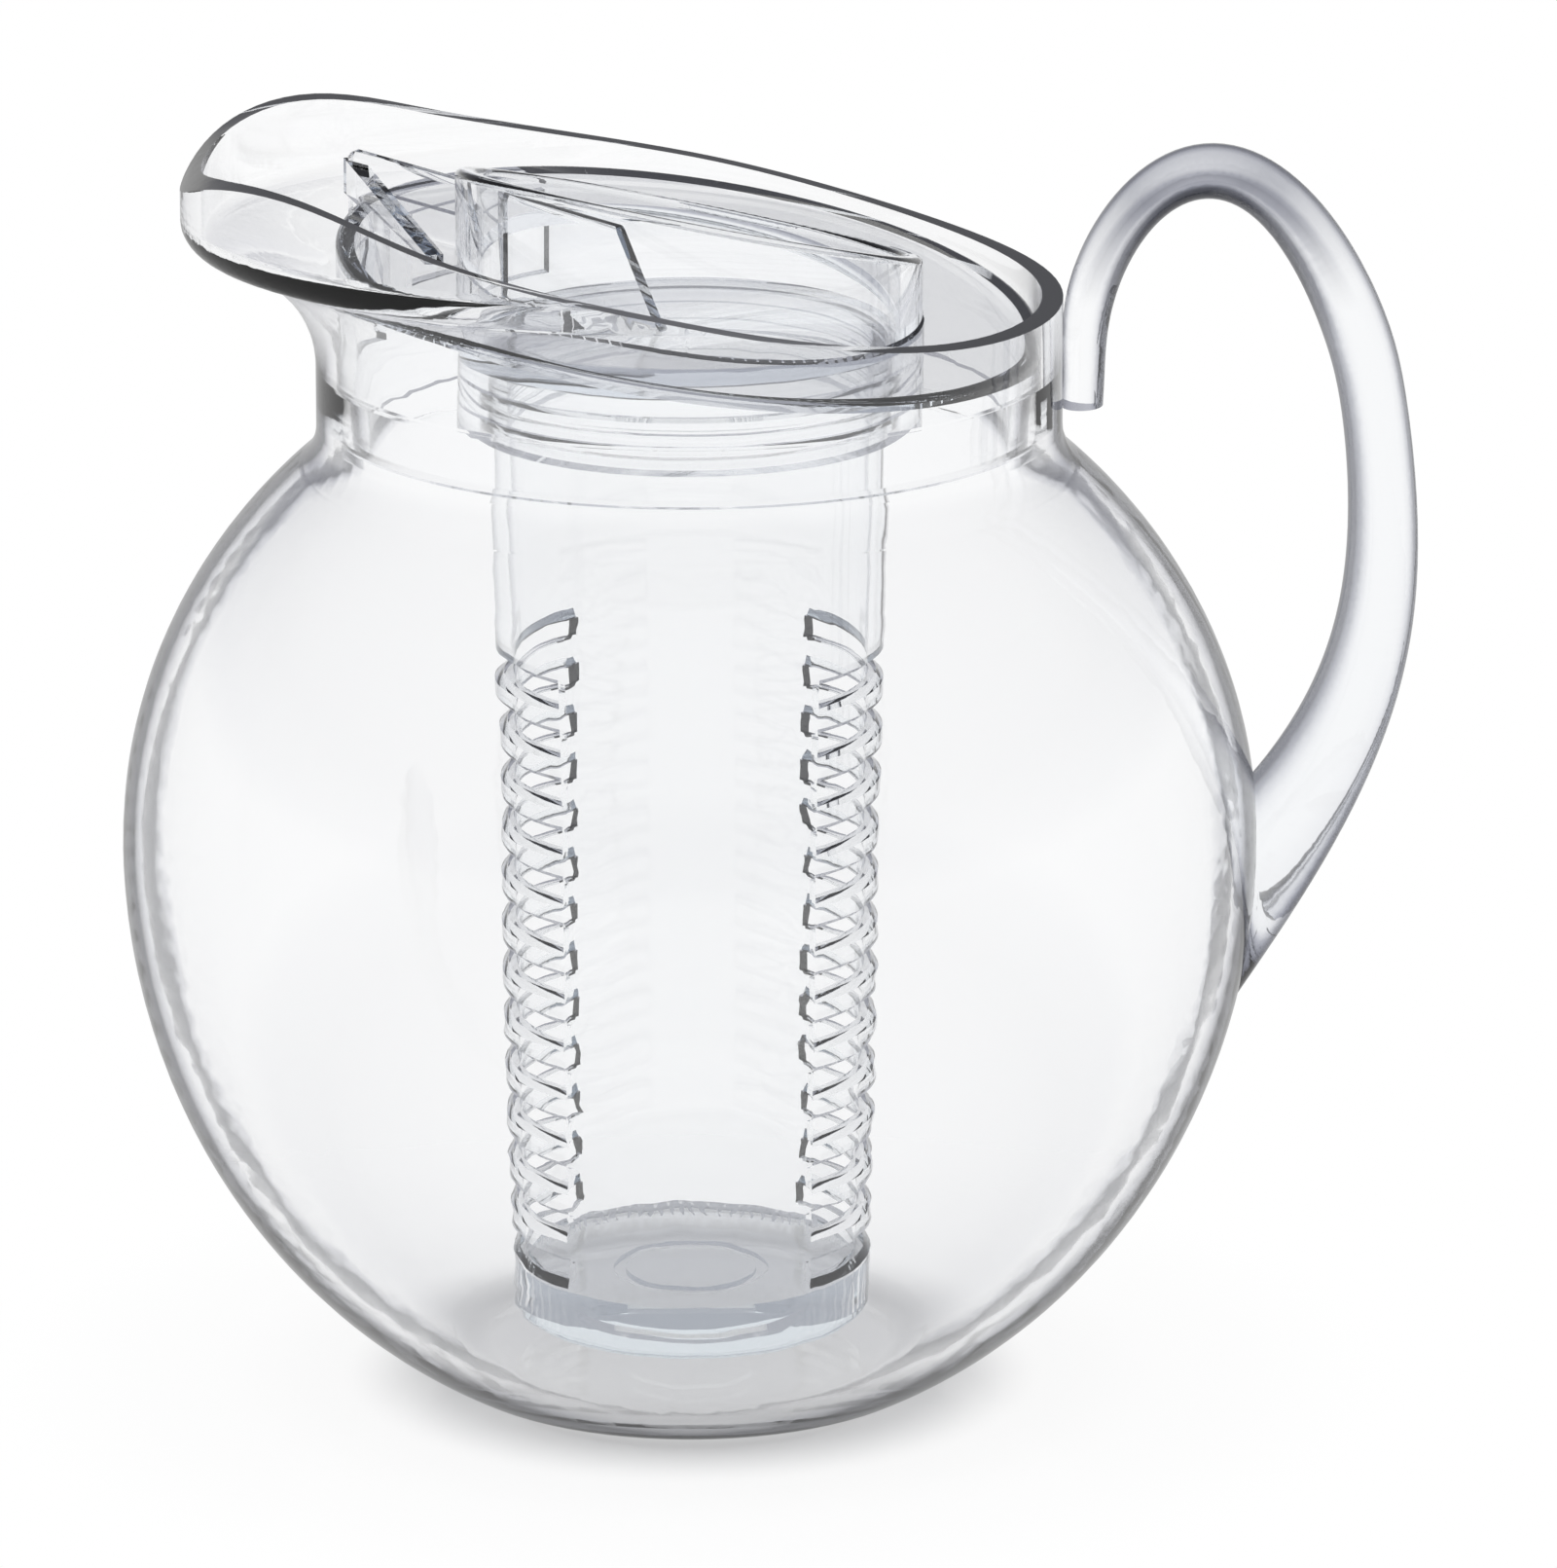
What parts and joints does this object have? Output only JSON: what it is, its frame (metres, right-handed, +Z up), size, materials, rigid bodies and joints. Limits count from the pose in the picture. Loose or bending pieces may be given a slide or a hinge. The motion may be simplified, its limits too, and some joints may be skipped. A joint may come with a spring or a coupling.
{
  "type": "fruit infuser pitcher",
  "caption": "Clear acrylic globe pitcher with a pouring spout, a bent rod handle, a slanted plug lid and a slotted infuser tube that screws into the lid.",
  "frame": {"origin": "centre of the flat base that the pitcher stands on, on the globe's axis", "axes": "+Z up along the globe's axis, the handle towards +X and the spout towards -X"},
  "size_m": [0.2164, 0.19, 0.2129],
  "materials": {
    "body_acrylic": "clear moulded acrylic, polished",
    "handle_acrylic": "clear solid acrylic rod, polished",
    "lid_acrylic": "clear moulded acrylic, polished",
    "infuser_acrylic": "clear moulded acrylic, polished"
  },
  "bodies": {
    "pitcher": {"pitcher_body": "body_acrylic", "handle": "handle_acrylic"},
    "lid": {"lid_shell": "lid_acrylic", "lid_well": "lid_acrylic", "lid_fin": "lid_acrylic"},
    "infuser": {"infuser_tube": "infuser_acrylic", "infuser_base": "infuser_acrylic"}
  },
  "joints": [
    {"name": "lid_lift", "type": "slide", "parent": "pitcher", "child": "lid", "axis": [0, 0, 1], "range_m": [0, 0.205]},
    {"name": "infuser_twist", "type": "hinge", "parent": "lid", "child": "infuser", "pos_m": [0, 0, 0.17], "axis": [0, 0, -1], "range_deg": [0, 270]}
  ]
}
